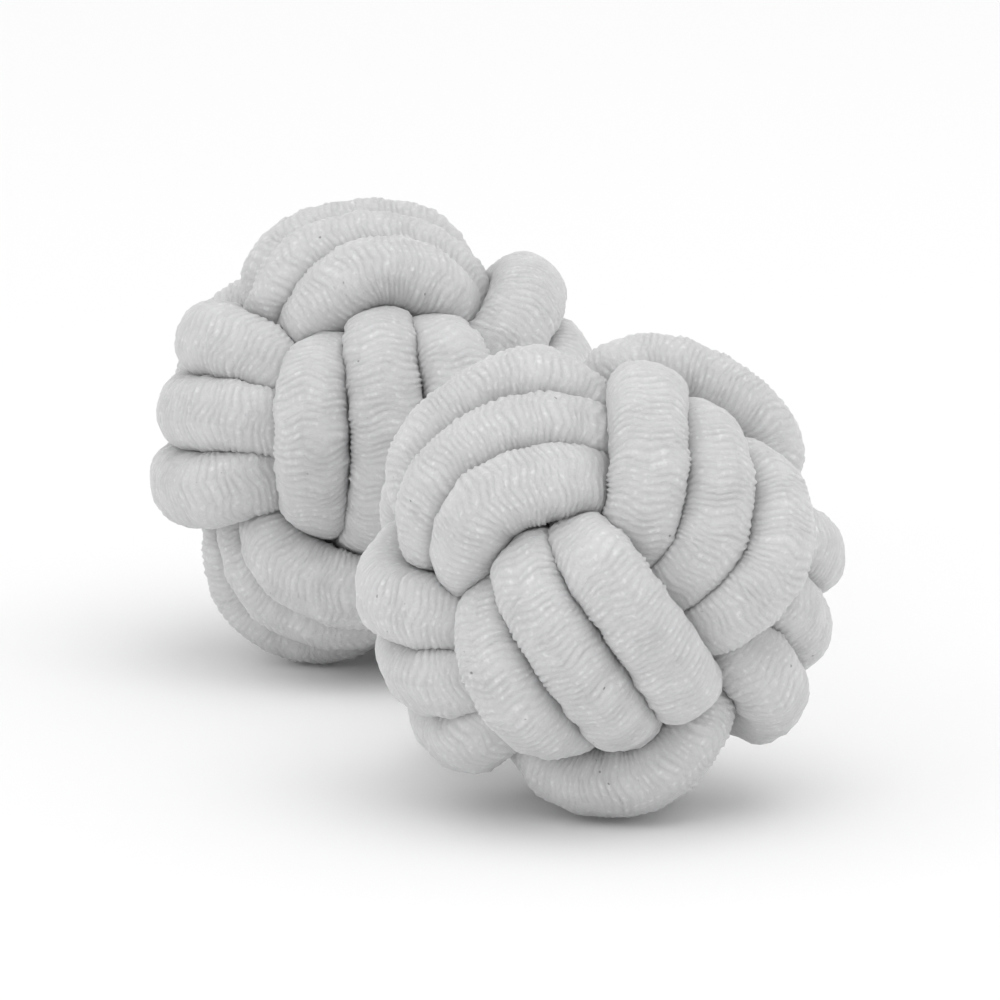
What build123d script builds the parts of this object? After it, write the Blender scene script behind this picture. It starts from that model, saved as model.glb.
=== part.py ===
# A knot cufflink: two round cord knots joined by a short elastic link.
#
# Each knot is one covered elastic cord that goes three times round a ball, as a Turk's head
# knot of four leads and three bights, so that nine patches of three strands show. The cord
# ends lie pressed under a patch. The link is a stretch of the same cord from knot to knot.
#
# Lengths are in millimetres and angles in degrees. The cufflink lies on the plane z = 0 with
# the origin under its middle. +X runs along the link to the front knot, and +Z is up.
import os

import numpy as np
from build123d import *

# The cord of a knot
cord_diameter = 1.70          # where it lies on top of the knot
pressed_diameter = 0.87       # where another strand passes over it
strand_clearance = 0.08       # left open between strands as they settle
smallest_gap = 0.05           # the cord is thinned where they end up closer than this
end_setback = 0.55            # from the jog's middle to each cord end, along the cord
end_dip = 0.45                # how far each cord end dips into the knot

# The winding, seen from the knot's middle
top_radius = 4.85             # to the cord's middle, on top
under_radius = 3.25           # to the cord's middle, under another strand
strand_angle = 20.0           # between two strands side by side
squeeze_share = 0.18          # how much closer they lie where they are pressed under
leads = 4                     # turns round the knot's axis in one round
bights = 3                    # swings to each side in one round
rounds = 3                    # strands side by side
swing_angle = 60.0            # main swing to each side of the knot's equator
swing_fullness = 10.0         # extra swing that rounds the bights
lead_lean = 8.0               # turns the strands' crossings closer to square
lead_wave = 2.0               # the same, twice as quick
rise_slow = 0.35              # slow and quick parts of the wave from over to under
rise_quick = 1.35
dive_steepness = 2.6          # how short the way is from top to under
jog_length = 1.5              # in which a round moves over by one strand

# The cufflink
knot_spacing = 17.0           # between the knots' middles
link_diameter = 1.70
link_neck_diameter = 0.80     # where the link goes in between the strands
link_neck_length = 0.75
link_clearance = 0.12         # from the link's ends to the strands that hold it

# How each knot is turned: about Z, then about its own Y, then about its own axis. The last
# column picks the under crossing where the cord starts and ends, out of sight.
knots = {
    "knot_front": {"side": 1, "heading": -65, "lean": 90, "spin": 5, "start": 4},
    "knot_rear": {"side": -1, "heading": -55, "lean": 50, "spin": 0, "start": 4},
}

# Fineness
path_points = 450             # along a knot's cord while it settles
fine_points = 2400            # along it where its gaps are measured
knot_rings = 345              # sections of a knot's cord
knot_sides = 10
link_rings = 16
link_sides = 14
settle_steps = 120
respace_steps = 6             # settling steps between two even spacings
contact_passes = 3
own_reach = 1.6               # in diameters: nearer along the cord, it isn't its own neighbour
smooth_share = 0.2            # bending that is evened out in each step
pull_share = 0.02             # slack that is taken up in each step


def unit(vectors):
    return vectors / np.linalg.norm(vectors, axis=-1, keepdims=True)


def lead_direction(turn):
    """Direction from the knot's middle to the middle strand, at a turn in radians."""
    latitude = np.radians(swing_angle * np.cos(turn) + swing_fullness * np.cos(3 * turn))
    lean = np.radians(lead_lean * np.sin(2 * turn) + lead_wave * np.sin(4 * turn))
    longitude = leads / bights * turn + lean
    return np.stack([np.cos(latitude) * np.cos(longitude),
                     np.cos(latitude) * np.sin(longitude),
                     np.sin(latitude)], axis=-1)


def share_on_top(turn):
    """1 where the strand lies on top, 0 where it passes under."""
    wave = -(rise_slow * np.sin(turn) + rise_quick * np.sin(3 * turn))
    wave = np.tanh(dive_steepness * wave) / np.tanh(dive_steepness)
    return np.clip((wave + 1) / 2, 0, 1)


def under_crossings():
    """The nine turns at which the middle strand passes under another."""
    each_swing = (np.pi / 4, 3 * np.pi / 4, 3 * np.pi / 2)
    return [swing * 2 * np.pi + turn for swing in range(bights) for turn in each_swing]


def wound_cord(start):
    """Middle points and diameters of the whole cord, before it settles."""
    round_turn = 2 * np.pi * bights
    first = under_crossings()[start]
    turn_speed = under_radius * np.linalg.norm(
        lead_direction(first + 0.001) - lead_direction(first - 0.001)) / 0.002
    setback = end_setback / turn_speed
    half_jog = jog_length / turn_speed / 2
    along = np.linspace(setback, rounds * round_turn - setback, path_points)
    lane = np.full(path_points, -(rounds - 1) / 2)
    for done in range(1, rounds):
        lane += (1 + np.tanh((along - done * round_turn) / half_jog)) / 2
    turn = first + along
    out = lead_direction(turn)
    forward = unit(lead_direction(turn + 0.001) - lead_direction(turn - 0.001))
    sideways = np.cross(out, forward)
    on_top = share_on_top(turn)
    offset = np.radians(strand_angle) * lane * (1 - squeeze_share * (1 - on_top))
    radius = under_radius + (top_radius - under_radius) * on_top
    to_end = np.minimum(along, rounds * round_turn - along) - setback
    radius -= end_dip * np.exp(-(to_end / half_jog) ** 2)
    direction = np.cos(offset)[:, None] * out + np.sin(offset)[:, None] * sideways
    diameter = pressed_diameter + (cord_diameter - pressed_diameter) * on_top
    return direction * radius[:, None], diameter


def evenly_spaced(values, count):
    """The rows of a cord's table again, at even distances along the cord."""
    length = np.linalg.norm(np.diff(values[:, :3], axis=0), axis=1)
    along = np.concatenate([[0], np.cumsum(length)])
    places = np.linspace(0, along[-1], count)
    return np.stack([np.interp(places, along, column) for column in values.T], axis=-1)


def settled_cord(points, diameters):
    """Pushes the strands clear of each other while the cord stays smooth."""
    first, second = np.triu_indices(path_points, 1)
    reach = 1.5 * (cord_diameter + strand_clearance)
    for step in range(settle_steps):
        if step % respace_steps == 0:
            table = evenly_spaced(np.column_stack([points, diameters]), path_points)
            points, diameters = table[:, :3], table[:, 3]
            spacing = np.linalg.norm(points[1] - points[0])
            apart = second - first > own_reach * cord_diameter / spacing
            near = np.linalg.norm(points[first] - points[second], axis=1) < reach
            one, other = first[apart & near], second[apart & near]
            wanted = (diameters[one] + diameters[other]) / 2 + strand_clearance
        calm = 1 - step / settle_steps
        bend = np.zeros_like(points)
        bend[1:-1] = (points[:-2] + points[2:]) / 2 - points[1:-1]
        even = np.zeros_like(points)
        even[1:-1] = (bend[:-2] + bend[2:]) / 2 - bend[1:-1]
        points = points + calm * (pull_share * bend - smooth_share * even)
        for _ in range(contact_passes):
            between = points[one] - points[other]
            distance = np.linalg.norm(between, axis=1)
            touching = distance < wanted
            lack = (wanted - distance)[touching] / distance[touching] / 4
            push = between[touching] * lack[:, None]
            moves = np.zeros_like(points)
            count = np.zeros(path_points)
            for index, sign in ((one[touching], 1), (other[touching], -1)):
                np.add.at(moves, index, sign * push)
                np.add.at(count, index, 1)
            points = points + moves * (np.minimum(count, 2) / np.maximum(count, 1))[:, None]
    return points, diameters


def resampled(values, count):
    """A smooth curve through the rows of a table, at evenly spaced places."""
    place = np.linspace(0, len(values) - 1, count)
    index = np.clip(place.astype(int), 0, len(values) - 2)
    t = (place - index)[:, None]
    before = values[np.maximum(index - 1, 0)]
    here, after = values[index], values[index + 1]
    beyond = values[np.minimum(index + 2, len(values) - 1)]
    return here + t / 2 * (after - before + t * (2 * before - 5 * here + 4 * after - beyond
                           + t * (3 * here - 3 * after + beyond - before)))


def thinned(points, diameters):
    """Thins the cord where two of its strands lie closer than the smallest gap."""
    along = np.concatenate([[0], np.cumsum(np.linalg.norm(np.diff(points, axis=0), axis=1))])
    room = np.empty(len(points))
    for i in range(len(points)):
        distance = np.linalg.norm(points - points[i], axis=1)
        share = 2 * diameters[i] / (diameters[i] + diameters)
        own = np.abs(along - along[i]) < own_reach * cord_diameter
        room[i] = np.where(own, cord_diameter, distance * share - smallest_gap).min()
    return np.minimum(diameters, room)


def tube_rings(points, diameters, outward, sides):
    """Rings of points round a cord. Outward fixes where each ring starts."""
    forward = unit(np.gradient(points, axis=0))
    sideways = unit(np.cross(forward, outward))
    upright = np.cross(sideways, forward)
    angle = 2 * np.pi * np.arange(sides) / sides
    circle = (np.cos(angle)[:, None] * upright[:, None, :]
              + np.sin(angle)[:, None] * sideways[:, None, :])
    rings = points[:, None, :] + circle * diameters[:, None, None] / 2
    ends = (points[0] - forward[0] * diameters[0] / 4, points[-1] + forward[-1] * diameters[-1] / 4)
    return rings, ends


def tube_solid(rings, ends):
    """A closed solid of flat triangles over the rings, with a low cone on each end."""
    corners = [[Vector(*corner) for corner in ring] for ring in rings]
    sides = len(corners[0])
    triangles = []
    for here, there in zip(corners[:-1], corners[1:]):
        for side in range(sides):
            after = (side + 1) % sides
            triangles.append((here[side], there[after], here[after]))
            triangles.append((here[side], there[side], there[after]))
    for ring, end, turned in ((corners[0], ends[0], False), (corners[-1], ends[1], True)):
        tip = Vector(*end)
        for side in range(sides):
            pair = (ring[side], ring[(side + 1) % sides])
            triangles.append((tip, *(reversed(pair) if turned else pair)))
    return Solid(Shell([Face(Wire.make_polygon(triangle, close=True)) for triangle in triangles]))


def turned(points, heading, lean, spin):
    """Turns points about their own Z by spin, then about Y by lean, then about Z."""
    for axis, angle in ((2, spin), (1, lean), (2, heading)):
        c, s = np.cos(np.radians(angle)), np.sin(np.radians(angle))
        if axis == 2:
            points = points @ np.array([[c, s, 0], [-s, c, 0], [0, 0, 1]])
        else:
            points = points @ np.array([[c, 0, -s], [0, 1, 0], [s, 0, c]])
    return points


def corner_directions():
    """The three corners of the winding where four patches meet, on the knot's equator."""
    longitude = np.pi / bights * (1 + 2 * np.arange(bights))
    return np.stack([np.cos(longitude), np.sin(longitude), np.zeros(bights)], axis=-1)


def seat_distance(strands, diameters, direction):
    """How far from the knot's middle a rounded cord end can lie along a direction."""
    for distance in np.arange(top_radius + 2 * cord_diameter, 0, -0.02):
        gap = np.linalg.norm(strands - direction * distance, axis=1)
        if np.any(gap < (diameters + link_diameter) / 2 + link_clearance):
            return distance + 0.02
    return 0.0


def settled_knot(row):
    """Centre line and diameters of one knot, about its own middle."""
    points, diameters = wound_cord(row["start"])
    points, diameters = settled_cord(points, diameters)
    table = resampled(np.column_stack([points, diameters]), fine_points)
    table[:, 3] = thinned(table[:, :3], table[:, 3])
    table = resampled(table, knot_rings)
    line = turned(table[:, :3], row["heading"], row["lean"], row["spin"])
    return line, table[:, 3]


def make_cufflink():
    solids, middles, lines = {}, {}, {}
    surfaces = {}
    for name, row in knots.items():
        line, diameters = settled_knot(row)
        rings, ends = tube_rings(line, diameters, line, knot_sides)
        middle = np.array([row["side"] * knot_spacing / 2, 0, -rings[..., 2].min()])
        middles[name], lines[name], surfaces[name] = middle, (line, diameters), (rings, ends)
    corners = np.concatenate([(surfaces[name][0] + middles[name]).reshape(-1, 3) for name in knots])
    centre = (corners.max(axis=0) + corners.min(axis=0)) / 2 * [1, 1, 0]
    for name in knots:
        middles[name] = middles[name] - centre
        rings, ends = surfaces[name]
        solids[name] = tube_solid(rings + middles[name], [end + middles[name] for end in ends])
    solids["link"] = link_solid(middles, lines)
    return solids


def link_solid(middles, lines):
    """The elastic cord between two corners of the knots, leaving each one straight out."""
    seats = {}
    for name, row in knots.items():
        inward = -row["side"] * np.array([1.0, 0, 0])
        corners = turned(corner_directions(), row["heading"], row["lean"], row["spin"])
        direction = corners[np.argmax(corners @ inward)]
        distance = seat_distance(*lines[name], direction)
        seats[name] = (middles[name] + direction * distance, direction)
    (start, out_start), (end, out_end) = seats["knot_rear"], seats["knot_front"]
    handle = np.linalg.norm(end - start) / 3
    hull = [start, start + out_start * handle, end + out_end * handle, end]
    t = np.linspace(0, 1, link_rings)[:, None]
    line = (hull[0] * (1 - t) ** 3 + 3 * hull[1] * t * (1 - t) ** 2
            + 3 * hull[2] * t ** 2 * (1 - t) + hull[3] * t ** 3)
    depths = np.array([1, 0.5])[:, None] * link_neck_length
    line = np.vstack([start - out_start * depths, line, end - out_end * depths[::-1]])
    widths = np.full(len(line), link_diameter)
    widths[[0, -1]] = link_neck_diameter
    widths[[1, -2]] = (link_neck_diameter + link_diameter) / 2
    up = np.tile([0.0, 0, 1], (len(line), 1))
    return tube_solid(*tube_rings(line, widths, up, link_sides))


os.makedirs("parts", exist_ok=True)
for node, solid in make_cufflink().items():
    solid.label = node
    export_step(solid, f"parts/{node}.step")
    print(node, "valid", solid.is_valid, "volume", round(solid.volume, 1), solid.bounding_box())
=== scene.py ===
# Knot cufflink: two wound cord knots on an elastic link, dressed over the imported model.
import math

import bpy
import numpy as np
from mathutils import Matrix, Vector


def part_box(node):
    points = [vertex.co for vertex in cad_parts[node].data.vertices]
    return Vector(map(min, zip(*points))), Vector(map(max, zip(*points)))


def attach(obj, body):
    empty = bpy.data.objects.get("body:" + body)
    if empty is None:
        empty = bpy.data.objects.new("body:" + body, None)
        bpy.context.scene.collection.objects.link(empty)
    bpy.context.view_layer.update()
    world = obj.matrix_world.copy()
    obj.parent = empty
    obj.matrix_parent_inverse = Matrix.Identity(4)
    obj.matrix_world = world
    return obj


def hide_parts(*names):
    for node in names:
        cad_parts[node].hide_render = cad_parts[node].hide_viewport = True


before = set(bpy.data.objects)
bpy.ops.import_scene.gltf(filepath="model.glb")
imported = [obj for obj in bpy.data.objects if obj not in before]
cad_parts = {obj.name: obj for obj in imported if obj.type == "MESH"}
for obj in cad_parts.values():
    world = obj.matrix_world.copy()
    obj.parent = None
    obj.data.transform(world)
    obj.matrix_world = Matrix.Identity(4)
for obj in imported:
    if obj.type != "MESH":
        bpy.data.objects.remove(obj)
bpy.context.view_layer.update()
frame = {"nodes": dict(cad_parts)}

mm = 0.001
bpy.ops.object.select_all(action="DESELECT")
print("frame loaded:", ", ".join(frame["nodes"]))

# The winding, as in the part's source: a four-lead, three-bight Turk's head, three strands wide.
# Lengths are in millimetres and angles in degrees.
winding = {
    "cord": 1.70, "pressed": 0.87, "clearance": 0.08,
    "endSetback": 0.55, "endDip": 0.45,
    "topRadius": 4.85, "underRadius": 3.25,
    "strandAngle": 20.0, "squeeze": 0.18,
    "leads": 4, "bights": 3, "rounds": 3,
    "swing": 60.0, "fullness": 10.0,
    "lean": 8.0, "wave": 2.0,
    "riseSlow": 0.35, "riseQuick": 1.35, "dive": 2.6,
    "jog": 1.5,
    "points": 450, "finePoints": 2400, "smallestGap": 0.05,
    "settleSteps": 120, "respaceSteps": 6, "contactPasses": 3,
    "ownReach": 1.6, "smooth": 0.2, "pull": 0.02,
    "turnStep": 0.001, "nearReach": 1.5, "pushShare": 0.25, "mostPushes": 2,
    "rings": 345, "sides": 10,
}

# Each knot's turns about Z, its own Y and its own axis
knots = {
    "knotFront": {"node": "knot_front", "side": 1, "heading": -65, "lean": 90, "spin": 5, "start": 4},
    "knotRear": {"node": "knot_rear", "side": -1, "heading": -55, "lean": 50, "spin": 0, "start": 4},
}


def unit(vectors):
    return vectors / np.linalg.norm(vectors, axis=-1, keepdims=True)


def lengthAlong(points):
    # the length along a line, up to each of its points
    return np.concatenate([[0], np.cumsum(np.linalg.norm(np.diff(points, axis=0), axis=1))])


def rowsAt(places, at, table):
    # the rows of a table at new places, where at says what places its own rows have
    return np.stack([np.interp(places, at, column) for column in table.T], axis=-1)


def roundCord(sides, one, other):
    # the angles round a cord, and for each of its rings the directions that they stand for
    angle = 2 * np.pi * np.arange(sides) / sides
    cosine, sine = np.cos(angle)[None, :, None], np.sin(angle)[None, :, None]
    return angle, cosine * one[:, None] + sine * other[:, None]


def leadDirection(turn):
    # the way from the knot's middle to the winding's middle lane
    w = winding
    latitude = np.radians(w["swing"] * np.cos(turn) + w["fullness"] * np.cos(3 * turn))
    lean = np.radians(w["lean"] * np.sin(2 * turn) + w["wave"] * np.sin(4 * turn))
    longitude = w["leads"] / w["bights"] * turn + lean
    return np.stack([np.cos(latitude) * np.cos(longitude),
                     np.cos(latitude) * np.sin(longitude),
                     np.sin(latitude)], axis=-1)


def shareOnTop(turn):
    # 1 on top of the knot, 0 where another strand passes over
    w = winding
    wave = -(w["riseSlow"] * np.sin(turn) + w["riseQuick"] * np.sin(3 * turn))
    wave = np.tanh(w["dive"] * wave) / np.tanh(w["dive"])
    return np.clip((wave + 1) / 2, 0, 1)


def woundCord(start):
    # the cord's points and thickness before it settles
    w = winding
    roundTurn = 2 * np.pi * w["bights"]
    crossings = [swing * 2 * np.pi + turn for swing in range(w["bights"])
                 for turn in (np.pi / 4, 3 * np.pi / 4, 3 * np.pi / 2)]
    first = crossings[start]
    small = w["turnStep"]
    step = leadDirection(first + small) - leadDirection(first - small)
    speed = w["underRadius"] * np.linalg.norm(step) / (2 * small)
    setback = w["endSetback"] / speed
    halfJog = w["jog"] / speed / 2
    along = np.linspace(setback, w["rounds"] * roundTurn - setback, w["points"])
    lane = np.full(w["points"], -(w["rounds"] - 1) / 2)
    for done in range(1, w["rounds"]):
        lane += (1 + np.tanh((along - done * roundTurn) / halfJog)) / 2
    turn = first + along
    out = leadDirection(turn)
    forward = unit(leadDirection(turn + small) - leadDirection(turn - small))
    sideways = np.cross(out, forward)
    onTop = shareOnTop(turn)
    offset = np.radians(w["strandAngle"]) * lane * (1 - w["squeeze"] * (1 - onTop))
    radius = w["underRadius"] + (w["topRadius"] - w["underRadius"]) * onTop
    toEnd = np.minimum(along, w["rounds"] * roundTurn - along) - setback
    radius -= w["endDip"] * np.exp(-(toEnd / halfJog) ** 2)
    direction = np.cos(offset)[:, None] * out + np.sin(offset)[:, None] * sideways
    return direction * radius[:, None], w["pressed"] + (w["cord"] - w["pressed"]) * onTop


def evenlySpaced(values, count):
    along = lengthAlong(values[:, :3])
    return rowsAt(np.linspace(0, along[-1], count), along, values)


def settledCord(points, diameters):
    # pushes the strands clear of each other while the cord stays smooth
    w = winding
    first, second = np.triu_indices(w["points"], 1)
    reach = w["nearReach"] * (w["cord"] + w["clearance"])
    for step in range(w["settleSteps"]):
        if step % w["respaceSteps"] == 0:
            table = evenlySpaced(np.column_stack([points, diameters]), w["points"])
            points, diameters = table[:, :3], table[:, 3]
            spacing = np.linalg.norm(points[1] - points[0])
            apart = second - first > w["ownReach"] * w["cord"] / spacing
            near = np.linalg.norm(points[first] - points[second], axis=1) < reach
            one, other = first[apart & near], second[apart & near]
            wanted = (diameters[one] + diameters[other]) / 2 + w["clearance"]
        calm = 1 - step / w["settleSteps"]
        bend = np.zeros_like(points)
        bend[1:-1] = (points[:-2] + points[2:]) / 2 - points[1:-1]
        even = np.zeros_like(points)
        even[1:-1] = (bend[:-2] + bend[2:]) / 2 - bend[1:-1]
        points = points + calm * (w["pull"] * bend - w["smooth"] * even)
        for _ in range(w["contactPasses"]):
            between = points[one] - points[other]
            distance = np.linalg.norm(between, axis=1)
            touching = distance < wanted
            lack = (wanted - distance)[touching] / distance[touching] * w["pushShare"]
            push = between[touching] * lack[:, None]
            moves = np.zeros_like(points)
            count = np.zeros(w["points"])
            for index, sign in ((one[touching], 1), (other[touching], -1)):
                np.add.at(moves, index, sign * push)
                np.add.at(count, index, 1)
            share = np.minimum(count, w["mostPushes"]) / np.maximum(count, 1)
            points = points + moves * share[:, None]
    return points, diameters


def throughRows(values, count):
    # a smooth curve through the rows of a table, at evenly spaced places
    place = np.linspace(0, len(values) - 1, count)
    index = np.clip(place.astype(int), 0, len(values) - 2)
    t = (place - index)[:, None]
    before = values[np.maximum(index - 1, 0)]
    here, after = values[index], values[index + 1]
    beyond = values[np.minimum(index + 2, len(values) - 1)]
    return here + t / 2 * (after - before + t * (2 * before - 5 * here + 4 * after - beyond
                           + t * (3 * here - 3 * after + beyond - before)))


def thinned(table):
    # thins the cord where two of its strands lie closer than the smallest gap
    points, diameters = table[:, :3], table[:, 3]
    along = lengthAlong(points)
    room = np.empty(len(points))
    for i in range(len(points)):
        distance = np.linalg.norm(points - points[i], axis=1)
        share = 2 * diameters[i] / (diameters[i] + diameters)
        own = np.abs(along - along[i]) < winding["ownReach"] * winding["cord"]
        room[i] = np.where(own, winding["cord"], distance * share - winding["smallestGap"]).min()
    return np.column_stack([points, np.minimum(diameters, room)])


def turnedBy(points, row):
    # about Z by spin, then about Y by lean, then about Z by heading
    for axis, angle in ((2, row["spin"]), (1, row["lean"]), (2, row["heading"])):
        c, s = np.cos(np.radians(angle)), np.sin(np.radians(angle))
        if axis == 2:
            points = points @ np.array([[c, s, 0], [-s, c, 0], [0, 0, 1]])
        else:
            points = points @ np.array([[c, 0, -s], [0, 1, 0], [s, 0, c]])
    return points


def rollFrames(points):
    # directions across a cord that turn as little as they can along it
    forward = unit(np.gradient(points, axis=0))
    across = np.zeros_like(points)
    offTheCord = [0.3, 0.5, 0.8]
    start = np.cross(forward[0], offTheCord)
    across[0] = start / np.linalg.norm(start)
    for i in range(1, len(points)):
        step = across[i - 1] - forward[i] * np.dot(across[i - 1], forward[i])
        across[i] = step / np.linalg.norm(step)
    return forward, across, np.cross(forward, across)


# How a strand gives way to its neighbours: it is pressed flat and wide until it meets them.
# Crowns and widths are shares of the cord's radius.
pressing = {
    "crown": 0.865, "underCrown": 0.70, "topWidth": 0.94, "underWidth": 1.02,
    "fullness": 2.25, "cornerPower": 14.0, "seam": 1.06, "leastFacing": 0.05, "far": 1e3,
}

# Soft lumps of a cord: waves along and round it, with fixed phases
lumpForm = {
    "height": 0.014, "linkHeight": 0.008, "length": 1.1, "waves": 14,
    "shortest": 0.6, "spread": 1.4, "mostTurns": 3, "drift": 0.02,
}

knotMesh = {
    "rings": 3540, "sides": 28, "samples": 4000, "hiddenShare": 0.22, "shareGain": 2.2, "tip": 0.2,
    "neighbourSteps": 560, "neighbours": 40, "blocks": 40,
    "lumpSeed": 5, "swaySeed": 15, "ribSeed": 25,
}

# The braided cover: short slanted floats in columns, with a rib round the cord in each pitch
braidForm = {
    "pitch": 0.148, "columns": 10, "slant": 0.8, "sway": 0.03, "ribHeight": 0.050,
    "fading": 0.35, "fadeLength": 0.55, "weakest": 0.35, "strongest": 1.65,
}


def visibleRings(table, count):
    # rows of the cord's table, close together on top of the knot and far apart where it is hidden
    onTop = (table[:, 3] - winding["pressed"]) / (winding["cord"] - winding["pressed"])
    hidden = knotMesh["hiddenShare"]
    share = hidden + (1 - hidden) * np.clip(onTop * knotMesh["shareGain"], 0, 1)
    weight = np.concatenate([[0], np.cumsum((share[1:] + share[:-1]) / 2)])
    places = np.interp(np.linspace(0, weight[-1], count), weight, np.arange(len(table)))
    return rowsAt(places, np.arange(len(table)), table)


def pressedTube(line, diameters, along):
    # the directions round each ring and how far the cord reaches in them before it meets a strand
    p = pressing
    forward, across, beside = rollFrames(line)
    angle, normals = roundCord(knotMesh["sides"], across, beside)
    half = diameters / 2
    out = unit(line - forward * np.sum(line * forward, axis=1)[:, None])
    outShare = np.abs(np.einsum("ijk,ik->ij", normals, out))
    sideShare = np.sqrt(np.maximum(1 - outShare ** 2, 0))
    onTop = np.clip((diameters - winding["pressed"]) / (winding["cord"] - winding["pressed"]), 0, 1)
    width = (p["underWidth"] + (p["topWidth"] - p["underWidth"]) * onTop)[:, None]
    crown = (p["underCrown"] + (p["crown"] - p["underCrown"]) * onTop)[:, None]
    full = p["fullness"]
    free = ((outShare / crown) ** full + (sideShare / width) ** full) ** (-1 / full)
    places = np.linspace(0, along[-1], knotMesh["neighbourSteps"])
    other = rowsAt(places, along, line)
    otherHalf = np.interp(places, along, half)
    limit = np.full((len(line), len(angle)), p["far"])
    for block in np.array_split(np.arange(len(line)), knotMesh["blocks"]):
        between = other[None] - line[block][:, None]
        distance = np.linalg.norm(between, axis=2)
        own = np.abs(places[None] - along[block][:, None]) < winding["ownReach"] * winding["cord"]
        distance[own] = p["far"]
        pick = np.argsort(distance, axis=1)[:, :knotMesh["neighbours"]]
        near = np.take_along_axis(distance, pick, axis=1)
        to = np.take_along_axis(between, pick[:, :, None], axis=1) / near[:, :, None]
        plane = near * half[block][:, None] / (half[block][:, None] + otherHalf[pick]) * p["seam"]
        facing = np.einsum("isk,ijk->isj", normals[block], to)
        reach = plane[:, None] / np.maximum(facing, p["leastFacing"])
        limit[block] = np.where(facing > p["leastFacing"], reach, p["far"]).min(axis=2)
    power = p["cornerPower"]
    return angle, normals, (free ** -power + limit ** -power) ** (-1 / power), forward


def swayed(along, around, seed):
    # how far the ribs wander along the cord
    return along[:, None] + braidForm["sway"] * lumps(along, around, seed)


def ribs(swayedAlong, around, seed):
    # the height of the ribs, as the braid's columns lean to and fro and the ribs come and go
    b = braidForm
    columns = around[None] / (2 * np.pi) * b["columns"]
    lean = np.where(np.floor(columns) % 2 == 1, 1.0, -1.0) * b["slant"]
    rows = swayedAlong / b["pitch"] + (columns % 1 - 0.5) * lean
    strength = 1 + b["fading"] * lumps(swayedAlong[:, 0] / b["fadeLength"], around, seed)
    return (0.5 - 0.5 * np.cos(2 * np.pi * rows)) * np.clip(strength, b["weakest"], b["strongest"])


def lumps(along, around, seed):
    u = lumpForm
    rng = np.random.default_rng(seed)
    total = np.zeros((len(along), len(around)))
    for wave in range(u["waves"]):
        length = u["length"] * (u["shortest"] + u["spread"] * rng.random())
        turns = rng.integers(-u["mostTurns"], u["mostTurns"] + 1)
        phase = rng.random() * 2 * np.pi
        drift = np.cumsum(rng.standard_normal(len(along))) * u["drift"]
        angle = 2 * np.pi * along[:, None] / length + turns * around[None] + phase + drift[:, None]
        total += np.cos(angle)
    return total / math.sqrt(u["waves"] / 2)


def cordMesh(name, ringPoints, tips, along):
    # a closed tube mesh with the cord's own map: U in millimetres along its ribs, V once round it
    rings, sides = ringPoints.shape[:2]
    corners = np.vstack([ringPoints.reshape(-1, 3), tips]) * mm
    ring, side = np.meshgrid(np.arange(rings - 1), np.arange(sides), indexing="ij")
    after = (side + 1) % sides
    here, beside = ring * sides + side, ring * sides + after
    quads = np.stack([here, beside, beside + sides, here + sides], axis=-1).reshape(-1, 4)
    firstTip, lastTip = rings * sides, rings * sides + 1
    lastRing = (rings - 1) * sides
    caps = [(firstTip, (s + 1) % sides, s) for s in range(sides)]
    caps += [(lastTip, lastRing + s, lastRing + (s + 1) % sides) for s in range(sides)]
    mesh = bpy.data.meshes.new(name)
    mesh.from_pydata(corners.tolist(), [], quads.tolist() + caps)
    u = np.stack([along[ring, side], along[ring, after],
                  along[ring + 1, after], along[ring + 1, side]], axis=-1)
    v = np.stack([side, side + 1, side + 1, side], axis=-1) / sides
    mapped = np.stack([u, v], axis=-1).reshape(-1, 2)
    first, last = along[0, 0], along[-1, 0]
    ends = [[(first, (s + 0.5) / sides), (first, (s + 1) / sides), (first, s / sides)]
            for s in range(sides)]
    ends += [[(last, (s + 0.5) / sides), (last, s / sides), (last, (s + 1) / sides)]
             for s in range(sides)]
    uv = mesh.uv_layers.new(name="cordMap")
    uv.data.foreach_set("uv", np.vstack([mapped, np.array(ends).reshape(-1, 2)]).ravel())
    mesh.shade_smooth()
    piece = bpy.data.objects.new(name, mesh)
    bpy.context.collection.objects.link(piece)
    return piece


def boxMiddle(points):
    return (points.min(axis=0) + points.max(axis=0)) / 2


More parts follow.
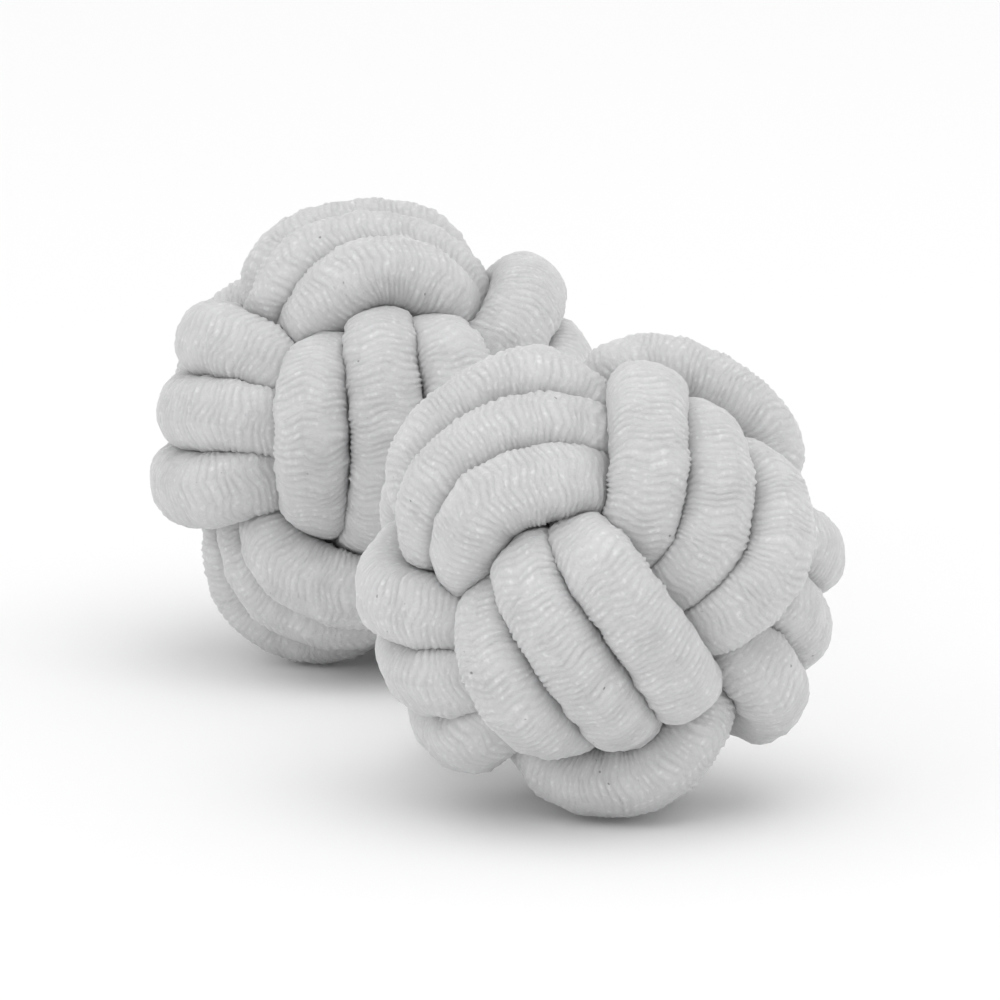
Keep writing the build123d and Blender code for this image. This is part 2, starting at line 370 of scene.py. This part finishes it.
def windKnot(name, row):
    points, diameters = settledCord(*woundCord(row["start"]))
    full = thinned(throughRows(np.column_stack([points, diameters]), winding["finePoints"]))
    table = throughRows(full, winding["rings"])

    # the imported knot's own rings, which give the place of its middle
    coarse = turnedBy(table[:, :3], row)
    forward = unit(np.gradient(coarse, axis=0))
    sideways = unit(np.cross(forward, coarse))
    upright = np.cross(sideways, forward)
    _, circle = roundCord(winding["sides"], upright, sideways)
    shell = (coarse[:, None] + circle * table[:, 3][:, None, None] / 2).reshape(-1, 3)
    low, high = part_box(row["node"])
    middle = (np.array(low) + np.array(high)) / 2 / mm - boxMiddle(shell)

    fine = visibleRings(throughRows(full, knotMesh["samples"]), knotMesh["rings"])
    line = turnedBy(fine[:, :3], row)
    along = lengthAlong(line)
    around, normals, radius, forward = pressedTube(line, fine[:, 3], along)
    ribbed = swayed(along, around, row["side"] + knotMesh["swaySeed"])
    radius = radius + lumpForm["height"] * lumps(along, around, row["side"] + knotMesh["lumpSeed"])
    ribHeights = ribs(ribbed, around, row["side"] + knotMesh["ribSeed"]) - 0.5
    radius = radius + braidForm["ribHeight"] * ribHeights
    surface = line[:, None] + normals * radius[:, :, None] + middle
    tips = np.array([line[0] - forward[0] * knotMesh["tip"],
                     line[-1] + forward[-1] * knotMesh["tip"]]) + middle
    piece = cordMesh(name, surface, tips, ribbed)
    print(name, "wound:", round(along[-1]), "mm of cord,", len(piece.data.polygons), "faces, highest",
          round(float(surface[..., 2].max()), 2))
    return piece, middle, (coarse, table[:, 3])


# The elastic link between the knots
linkCord = {
    "diameter": 1.70, "neckDiameter": 0.80, "neckLength": 0.75, "clearance": 0.12,
    "rings": 220, "sides": 28, "neckRings": 12, "neckTip": 0.08, "tip": 0.15, "seatStep": 0.02,
    "lumpSeed": 3, "swaySeed": 19, "ribSeed": 29,
}


def seatDistance(strands, diameters, direction):
    # how near to a knot's middle the link comes, on its way in, before it meets a strand
    step = linkCord["seatStep"]
    for distance in np.arange(winding["topRadius"] + 2 * winding["cord"], 0, -step):
        gap = np.linalg.norm(strands - direction * distance, axis=1)
        if np.any(gap < (diameters + linkCord["diameter"]) / 2 + linkCord["clearance"]):
            return distance + step
    return 0.0


def stretchLink(middles, lines):
    # the link leaves each knot where four patches meet, at the corner nearest the other knot
    k = linkCord
    seats = {}
    for name, row in knots.items():
        longitude = np.pi / winding["bights"] * (1 + 2 * np.arange(winding["bights"]))
        corners = turnedBy(np.stack([np.cos(longitude), np.sin(longitude), 0 * longitude], axis=-1), row)
        toOther = np.array([-row["side"], 0.0, 0.0])
        direction = corners[np.argmax(corners @ toOther)]
        seats[name] = (middles[name] + direction * seatDistance(*lines[name], direction), direction)
    (start, outStart), (end, outEnd) = seats["knotRear"], seats["knotFront"]
    handle = np.linalg.norm(end - start) / 3
    t = np.linspace(0, 1, k["rings"])[:, None]
    line = (start * (1 - t) ** 3 + 3 * (start + outStart * handle) * t * (1 - t) ** 2
            + 3 * (end + outEnd * handle) * t ** 2 * (1 - t) + end * t ** 3)
    depths = np.linspace(1, k["neckTip"], k["neckRings"])[:, None] * k["neckLength"]
    line = np.vstack([start - outStart * depths, line, end - outEnd * depths[::-1]])
    widths = np.full(len(line), k["diameter"])
    neckShare = 1 - depths[:, 0] / depths[0, 0]
    neck = k["neckDiameter"] + (k["diameter"] - k["neckDiameter"]) * neckShare
    widths[:k["neckRings"]], widths[-k["neckRings"]:] = neck, neck[::-1]
    forward, across, beside = rollFrames(line)
    angle, normals = roundCord(k["sides"], across, beside)
    along = lengthAlong(line)
    ribbed = swayed(along, angle, k["swaySeed"])
    radius = widths[:, None] / 2 + lumpForm["linkHeight"] * lumps(along, angle, k["lumpSeed"])
    radius = radius + braidForm["ribHeight"] * (ribs(ribbed, angle, k["ribSeed"]) - 0.5)
    surface = line[:, None] + normals * radius[:, :, None]
    tips = np.array([line[0] - forward[0] * k["tip"], line[-1] + forward[-1] * k["tip"]])
    return cordMesh("linkCord", surface, tips, ribbed)


pieces, middles, lines = {}, {}, {}
for name, row in knots.items():
    pieces[name], middles[name], lines[name] = windKnot(name, row)
pieces["linkCord"] = stretchLink(middles, lines)
print("knots wound and linked")


def newGroup(name, inputs, outputs):
    group = bpy.data.node_groups.new(name, "ShaderNodeTree")
    for label, value in inputs:
        socket = group.interface.new_socket(label, in_out="INPUT", socket_type="NodeSocketFloat")
        socket.default_value = value
    for label in outputs:
        group.interface.new_socket(label, in_out="OUTPUT", socket_type="NodeSocketFloat")
    return group, group.nodes.new("NodeGroupInput"), group.nodes.new("NodeGroupOutput")


def wire(tree, kind, *inputs, **settings):
    # a node whose inputs are wired or set in order
    node = tree.nodes.new(kind)
    for key, value in settings.items():
        setattr(node, key, value)
    for socket, value in zip(node.inputs, inputs):
        if isinstance(value, bpy.types.NodeSocket):
            tree.links.new(value, socket)
        else:
            socket.default_value = value
    return node


def calc(tree, operation, *inputs):
    return wire(tree, "ShaderNodeMath", *inputs, operation=operation).outputs[0]


def setInputs(node, values):
    for label, value in values.items():
        node.inputs[label].default_value = value


def noise(tree, place, values):
    node = wire(tree, "ShaderNodeTexNoise", place)
    setInputs(node, values)
    return node.outputs["Fac"]


# The floats of the braid. Places in it are in millimetres, on the round of the cord.
# the glints are painted highlights: brighter spots painted into the colour
braidYarn = {
    "radius": 0.85, "crownPower": 1.6, "edgeRise": 0.5, "strength": 1.25,
    "patches": {"Scale": 1.4, "Detail": 3.0},
    "paintedGlints": {"Scale": 7.0, "Detail": 1.0}, "paintedGlintRange": (0.55, 0.72),
    "fibreSqueeze": (4.5, 4.5, 13.0),
    "fibres": {"Scale": 1.6, "Detail": 4.0, "Roughness": 0.65, "Distortion": 0.8},
}


def braidGroup():
    # each column of floats leans against the next, and no two floats are quite alike
    y = braidYarn
    g, given, result = newGroup("Braided cover",
                                [("Along", 0.0), ("Around", 0.0), ("Pitch", braidForm["pitch"]),
                                 ("Columns", braidForm["columns"]), ("Slant", braidForm["slant"]),
                                 ("Unevenness", coverFabric["unevenness"])],
                                ["Height", "ValleyShade", "PaintedGlint", "Fibres"])
    along, around = given.outputs["Along"], given.outputs["Around"]
    angle = calc(g, "MULTIPLY", around, 2 * math.pi)
    ringX = calc(g, "MULTIPLY", calc(g, "COSINE", angle), y["radius"])
    ringY = calc(g, "MULTIPLY", calc(g, "SINE", angle), y["radius"])
    place = wire(g, "ShaderNodeCombineXYZ", ringX, ringY, along).outputs[0]
    columns = calc(g, "MULTIPLY", around, given.outputs["Columns"])
    column, across = calc(g, "FLOOR", columns), calc(g, "FRACT", columns)
    odd = calc(g, "MULTIPLY", calc(g, "FRACT", calc(g, "DIVIDE", column, 2.0)), 2.0)
    lean = calc(g, "MULTIPLY", calc(g, "MULTIPLY_ADD", odd, 2.0, -1.0), given.outputs["Slant"])
    slope = calc(g, "MULTIPLY", calc(g, "SUBTRACT", across, 0.5), lean)
    rows = calc(g, "ADD", calc(g, "DIVIDE", along, given.outputs["Pitch"]), slope)
    row, upRow = calc(g, "FLOOR", rows), calc(g, "FRACT", rows)
    crown = calc(g, "POWER", calc(g, "SINE", calc(g, "MULTIPLY", upRow, math.pi)), y["crownPower"])
    arch = calc(g, "SINE", calc(g, "MULTIPLY", across, math.pi))
    rise = calc(g, "MULTIPLY_ADD", arch, 1 - y["edgeRise"], y["edgeRise"])
    yarn = calc(g, "MULTIPLY", crown, rise)

    cell = wire(g, "ShaderNodeCombineXYZ", row, column).outputs[0]
    chance = wire(g, "ShaderNodeTexWhiteNoise", cell, noise_dimensions="2D").outputs["Value"]
    patch = noise(g, place, y["patches"])
    uneven = calc(g, "MULTIPLY", calc(g, "ADD", chance, patch), given.outputs["Unevenness"])
    strength = calc(g, "SUBTRACT", y["strength"], uneven)
    g.links.new(calc(g, "MULTIPLY", yarn, strength), result.inputs["Height"])
    # painted shade: how much the valleys between the floats darken the colour
    g.links.new(calc(g, "MULTIPLY", calc(g, "SUBTRACT", 1.0, yarn), strength), result.inputs["ValleyShade"])
    # painted highlights: bright glints on the float crowns, for lightening the colour
    paintedGlints = noise(g, place, y["paintedGlints"])
    paintedGlintMask = wire(g, "ShaderNodeMapRange", paintedGlints, *y["paintedGlintRange"], 0.0, 1.0).outputs[0]
    g.links.new(calc(g, "MULTIPLY", paintedGlintMask, yarn), result.inputs["PaintedGlint"])

    # single fibres, drawn out round the cord
    squeezed = wire(g, "ShaderNodeVectorMath", place, y["fibreSqueeze"], operation="MULTIPLY")
    g.links.new(noise(g, squeezed.outputs[0], y["fibres"]), result.inputs["Fibres"])
    return g


# the glint entry is a painted highlight on the float crowns
# the valley colour and share are painted shade in the valleys between floats
coverFabric = {
    "colour": (0.62, 0.62, 0.624), "valleyShadeColour": (0.48, 0.48, 0.484), "valleyShadeShare": 0.5,
    "unevenness": 0.75, "paintedGlint": 0.18, "fuzz": 0.07, "fuzzRange": (0.25, 0.75),
    "patches": {"Scale": 900.0, "Detail": 3.0}, "patchRange": (0.3, 0.7), "patchTone": (0.96, 1.04),
    "lint": {"Scale": 6500.0, "Detail": 0.0}, "speckLevel": 0.87, "speckEdge": 0.03, "speckTone": 0.5,
    "yarnHeight": 0.012, "fibreHeight": 0.028, "scatter": 0.8,
}

braid = braidGroup()


def coverMaterial():
    c = coverFabric
    m = bpy.data.materials.new("Woven cord cover")
    m.use_nodes = True
    t = m.node_tree
    surface = t.nodes["Principled BSDF"]
    cordMap = wire(t, "ShaderNodeUVMap", uv_map="cordMap")
    split = wire(t, "ShaderNodeSeparateXYZ", cordMap.outputs[0])
    weave = t.nodes.new("ShaderNodeGroup")
    weave.node_tree = braid
    t.links.new(split.outputs["X"], weave.inputs["Along"])
    t.links.new(split.outputs["Y"], weave.inputs["Around"])
    setInputs(weave, {"Pitch": braidForm["pitch"], "Columns": braidForm["columns"],
                      "Slant": braidForm["slant"], "Unevenness": c["unevenness"]})

    # painted shade: the valleys between the floats are painted darker; inputs 6 and 7 are the mix's two
    # colours
    valleyShadeFactor = calc(t, "MULTIPLY", weave.outputs["ValleyShade"], c["valleyShadeShare"])
    shade = wire(t, "ShaderNodeMix", valleyShadeFactor, data_type="RGBA")
    shade.inputs[6].default_value = (*c["colour"], 1)
    shade.inputs[7].default_value = (*c["valleyShadeColour"], 1)
    place = wire(t, "ShaderNodeTexCoord")
    patches = noise(t, place.outputs["Object"], c["patches"])
    tone = wire(t, "ShaderNodeMapRange", patches, *c["patchRange"], *c["patchTone"]).outputs[0]
    # painted highlight: the glints lighten the base colour
    paintedGlintTone = calc(t, "MULTIPLY_ADD", weave.outputs["PaintedGlint"], c["paintedGlint"], 1.0)
    fuzz = wire(t, "ShaderNodeMapRange", weave.outputs["Fibres"], *c["fuzzRange"],
                1 - c["fuzz"], 1 + c["fuzz"]).outputs[0]

    # a dark speck of lint here and there
    lint = noise(t, place.outputs["Object"], c["lint"])
    speck = wire(t, "ShaderNodeMapRange", lint, c["speckLevel"], c["speckLevel"] + c["speckEdge"],
                 1.0, c["speckTone"]).outputs[0]
    floatTone = calc(t, "MULTIPLY", calc(t, "MULTIPLY", paintedGlintTone, fuzz), speck)
    toned = wire(t, "ShaderNodeVectorMath", shade.outputs[2], operation="SCALE")
    t.links.new(calc(t, "MULTIPLY", tone, floatTone), toned.inputs["Scale"])
    t.links.new(toned.outputs[0], surface.inputs["Base Color"])

    # fine relief: the yarns, and the fibres over them
    yarns = wire(t, "ShaderNodeBump")
    setInputs(yarns, {"Distance": c["yarnHeight"] * mm, "Strength": 1.0})
    t.links.new(weave.outputs["Height"], yarns.inputs["Height"])
    fibres = wire(t, "ShaderNodeBump")
    setInputs(fibres, {"Distance": c["fibreHeight"] * mm, "Strength": 1.0})
    t.links.new(weave.outputs["Fibres"], fibres.inputs["Height"])
    t.links.new(yarns.outputs[0], fibres.inputs["Normal"])
    t.links.new(fibres.outputs[0], surface.inputs["Normal"])
    surface.inputs["Roughness"].default_value = 0.5
    surface.inputs["Specular IOR Level"].default_value = 0.4
    surface.inputs["Sheen Weight"].default_value = 0.2
    surface.inputs["Sheen Roughness"].default_value = 0.45
    surface.inputs["Subsurface Weight"].default_value = 0.6
    surface.inputs["Subsurface Radius"].default_value = [c["scatter"] * mm] * 3
    surface.inputs["Subsurface Scale"].default_value = 1.0
    return m


cover = coverMaterial()
replaced = {"knotFront": "knot_front", "knotRear": "knot_rear", "linkCord": "link"}
for name, piece in pieces.items():
    piece.data.materials.append(cover)
    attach(piece, "root")
    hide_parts(replaced[name])
for node in frame["nodes"].values():
    node.data.materials.clear()
    node.data.materials.append(cover)
print("cover fabric laid on")

# Pale floor and soft light
studio = {
    "floorRadius": 1.6, "floorCorners": 96, "floorColour": (0.93, 0.93, 0.93),
    "worldColour": (1.0, 1.0, 1.0), "worldStrength": 0.90, "litPoint": (0, 0, 0.005),
    "key": {"place": (0.10, 0.02, 0.30), "size": 0.30, "power": 0.24},
    "fill": {"place": (0.20, -0.32, 0.14), "size": 0.30, "power": 0.12},
}

bpy.ops.mesh.primitive_circle_add(vertices=studio["floorCorners"], radius=studio["floorRadius"],
                                  fill_type="NGON", location=(0, 0, 0))
floor = bpy.context.active_object
floor.name = "paleFloor"
floorPaint = bpy.data.materials.new("Pale floor")
floorPaint.use_nodes = True
setInputs(floorPaint.node_tree.nodes["Principled BSDF"],
          {"Base Color": (*studio["floorColour"], 1), "Roughness": 0.9, "Specular IOR Level": 0.1})
floor.data.materials.append(floorPaint)

world = bpy.data.worlds.new("Studio")
world.use_nodes = True
setInputs(world.node_tree.nodes["Background"],
          {"Color": (*studio["worldColour"], 1), "Strength": studio["worldStrength"]})
bpy.context.scene.world = world

for name in ("key", "fill"):
    light = studio[name]
    bpy.ops.object.light_add(type="AREA", location=light["place"])
    lamp = bpy.context.active_object
    lamp.name = name + "Light"
    lamp.data.shape = "DISK"
    lamp.data.size = light["size"]
    lamp.data.energy = light["power"]
    toMiddle = Vector(studio["litPoint"]) - Vector(light["place"])
    lamp.rotation_euler = toMiddle.to_track_quat("-Z", "Y").to_euler()

# The knots' middles lie about 215 pixels apart across the photograph and 140 in height, which at
# 17 mm apart puts the camera 18 degrees to the side of the link and 12 degrees above the floor.
# Distance and sensor are in millimetres, scale in pixels per millimetre, and frontKnot is the
# front knot's place in pixels from the picture's middle.
view = {
    "azimuth": -18.0, "elevation": 12.0,
    "distance": 450.0, "scale": 42.0, "frontKnot": (100, -70), "pixels": 1000,
    "sensor": 36.0, "nearest": 0.01, "farthest": 10.0,
}
azimuth, elevation = math.radians(view["azimuth"]), math.radians(view["elevation"])
level = math.cos(elevation)
back = Vector((level * math.cos(azimuth), level * math.sin(azimuth), math.sin(elevation)))
right = Vector((0, 0, 1)).cross(back).normalized()
up = back.cross(right)
frontMiddle = Vector(middles["knotFront"])
offsetX, offsetY = (value / view["scale"] for value in view["frontKnot"])
eye = frontMiddle - right * offsetX - up * offsetY + back * view["distance"]
cameraData = bpy.data.cameras.new("camera")
camera = bpy.data.objects.new("camera", cameraData)
bpy.context.collection.objects.link(camera)
cameraData.sensor_width = view["sensor"]
cameraData.lens = view["scale"] * view["distance"] * view["sensor"] / view["pixels"]
cameraData.clip_start = view["nearest"]
cameraData.clip_end = view["farthest"]
turn = Matrix((right, up, back)).transposed().to_4x4()
camera.matrix_world = Matrix.Translation(eye * mm) @ turn
bpy.context.scene.camera = camera
bpy.context.scene.view_settings.view_transform = "Standard"
print("studio set")
